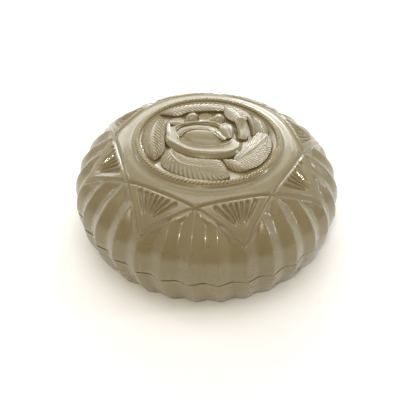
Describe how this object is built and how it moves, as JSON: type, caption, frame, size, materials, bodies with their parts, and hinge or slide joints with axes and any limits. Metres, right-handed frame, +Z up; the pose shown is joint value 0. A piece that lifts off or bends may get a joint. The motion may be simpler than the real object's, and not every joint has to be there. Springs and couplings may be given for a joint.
{
  "type": "cosmetic cream jar",
  "caption": "Squat round cream jar with a ribbed base and a deep domed screw lid carved with a star border and a rose medallion.",
  "frame": {"origin": "centre of the flat underside, where the jar stands", "axes": "+Z up along the jar's axis; the octagon's flats on the lid face +X, -X, +Y and -Y when the lid is closed"},
  "size_m": [0.092, 0.092, 0.0369],
  "materials": {
    "ivory": "glossy",
    "white": "satin",
    "wad": "matt"
  },
  "bodies": {
    "jar": {"base_shell": "ivory", "inner_jar": "white"},
    "wad": {"lid_liner": "wad"},
    "lid": {"lid_shell": "ivory", "lid_inner_cap": "white"}
  },
  "joints": [
    {"name": "lid_rise", "type": "slide", "parent": "jar", "child": "wad", "axis": [0, 0, 1], "range_m": [0, 0.0127]},
    {"name": "lid_turn", "type": "hinge", "parent": "wad", "child": "lid", "pos_m": [0, 0, 0.02], "axis": [0, 0, 1], "range_deg": [0, 1080]}
  ],
  "couplings": [
    {"joint": "lid_rise", "follows": "lid_turn", "m_per_rad": 0.00067375}
  ]
}
